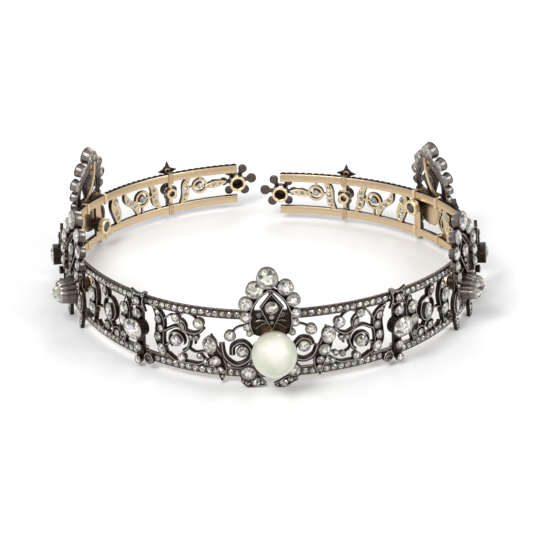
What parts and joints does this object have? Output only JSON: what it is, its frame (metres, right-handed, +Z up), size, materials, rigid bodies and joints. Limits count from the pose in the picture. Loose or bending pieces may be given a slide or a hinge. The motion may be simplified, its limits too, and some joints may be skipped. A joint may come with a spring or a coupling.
{
  "type": "diadem",
  "caption": "Open ring of pierced, stone-set band sections on two rails, with pointed arch crests, a pearl at the front and tubes at its open ends.",
  "frame": {"origin": "on the surface that the diadem stands on, under the middle of its box in plan", "axes": "+Z up, -Y towards the front with the pearl, +X to the right as seen from the front"},
  "size_m": [0.1588, 0.1654, 0.0446],
  "materials": {
    "silver": "oxidised silver fronts, worn bright on edges, on gold backs",
    "gold": "satin gold",
    "stone": "cut and polished",
    "pearl": "soft lustre"
  },
  "bodies": {
    "root": {"band_front": "silver", "band_side_right": "silver", "band_side_left": "silver", "band_back_right": "silver", "band_back_left": "silver", "band_end_right": "silver", "band_end_left": "silver", "connector_front_right": "silver", "connector_front_left": "silver", "connector_side_right": "silver", "connector_side_left": "silver", "connector_back_right": "silver", "connector_back_left": "silver", "crest_front": "silver", "crest_right": "silver", "crest_left": "silver", "crest_back_right": "silver", "crest_back_left": "silver", "nut_front": "gold", "nut_right": "gold", "nut_left": "gold", "nut_back_right": "gold", "nut_back_left": "gold", "pearl": "pearl", "diamond_right": "stone", "diamond_left": "stone", "diamond_back_right": "stone", "diamond_back_left": "stone", "diamond_connector_front_right": "stone", "diamond_connector_front_left": "stone", "diamond_connector_side_right": "stone", "diamond_connector_side_left": "stone", "top_stone_front": "stone", "top_stone_right": "stone", "top_stone_left": "stone", "top_stone_back_right": "stone", "top_stone_back_left": "stone", "stones_front": "stone", "stones_side_right": "stone", "stones_side_left": "stone", "stones_back_right": "stone", "stones_back_left": "stone", "stones_end_right": "stone", "stones_end_left": "stone", "crest_stones_front": "stone", "crest_stones_right": "stone", "crest_stones_left": "stone", "crest_stones_back_right": "stone", "crest_stones_back_left": "stone", "connector_stones_right": "stone", "connector_stones_left": "stone", "end_flower_right": "silver", "end_flower_left": "silver"}
  },
  "joints": []
}
